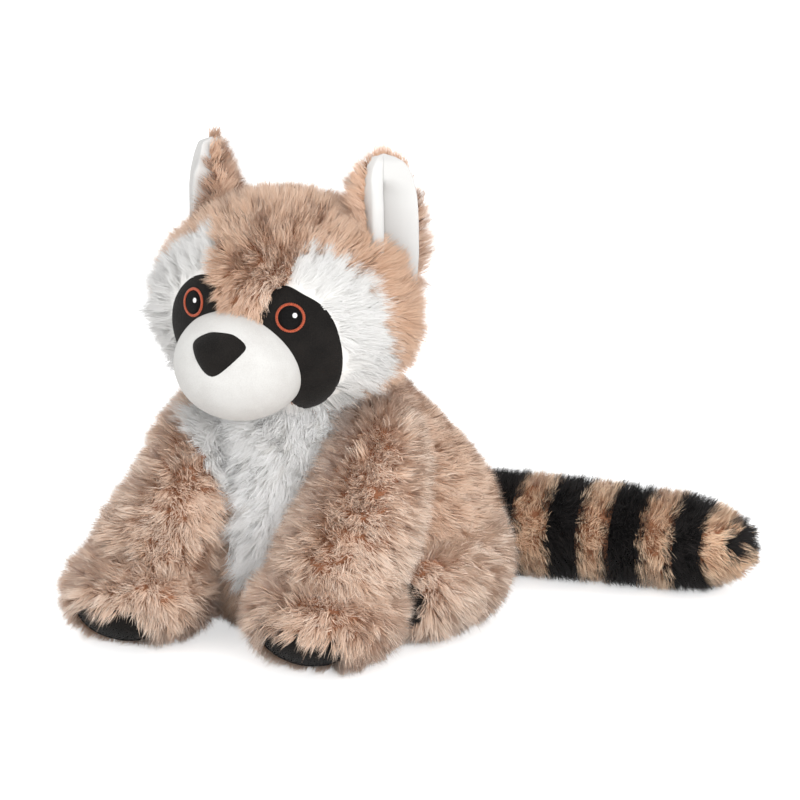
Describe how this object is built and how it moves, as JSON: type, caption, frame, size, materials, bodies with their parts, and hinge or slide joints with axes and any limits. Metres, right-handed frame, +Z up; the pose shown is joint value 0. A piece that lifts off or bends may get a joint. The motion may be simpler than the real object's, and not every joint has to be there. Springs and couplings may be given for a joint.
{
  "type": "plush raccoon",
  "caption": "Seated long-pile plush raccoon with a striped tail, masked face, short-pile muzzle and paw pads, and embroidered eyes.",
  "frame": {"origin": "on the plane that the toy sits on, under the middle of the seated body", "axes": "+Z up, the raccoon faces -Y, and its own left side is +X"},
  "size_m": [0.2784, 0.2875, 0.2535],
  "materials": {
    "brown_pile": "long soft pile, brown",
    "white_pile": "long soft pile, white",
    "black_pile": "long soft pile, black",
    "white_short_pile": "smooth short pile, white",
    "black_short_pile": "smooth short pile, black",
    "rust_thread": "satin-stitched embroidery thread",
    "black_thread": "satin-stitched embroidery thread",
    "white_thread": "satin-stitched embroidery thread"
  },
  "bodies": {
    "root": {"arm_left": "brown_pile", "arm_pad_left": "black_short_pile", "arm_pad_right": "black_short_pile", "arm_right": "brown_pile", "body": "brown_pile", "cheek_left": "white_pile", "cheek_right": "white_pile", "chest_panel": "white_pile", "ear_left": "brown_pile", "ear_lining_left": "white_short_pile", "ear_lining_right": "white_short_pile", "ear_right": "brown_pile", "eye_highlight_left": "white_thread", "eye_highlight_right": "white_thread", "eye_patch_left": "black_short_pile", "eye_patch_right": "black_short_pile", "eye_ring_left": "rust_thread", "eye_ring_right": "rust_thread", "head": "brown_pile", "leg_left": "brown_pile", "leg_pad_left": "black_short_pile", "leg_pad_right": "black_short_pile", "leg_right": "brown_pile", "muzzle": "white_short_pile", "nose": "black_short_pile", "pupil_left": "black_thread", "pupil_right": "black_thread", "tail_band_1": "black_pile", "tail_band_2": "brown_pile", "tail_band_3": "black_pile", "tail_band_4": "brown_pile", "tail_band_5": "black_pile", "tail_band_6": "brown_pile", "tail_band_7": "black_pile", "tail_band_8": "brown_pile", "tail_band_9": "black_pile"}
  },
  "joints": []
}
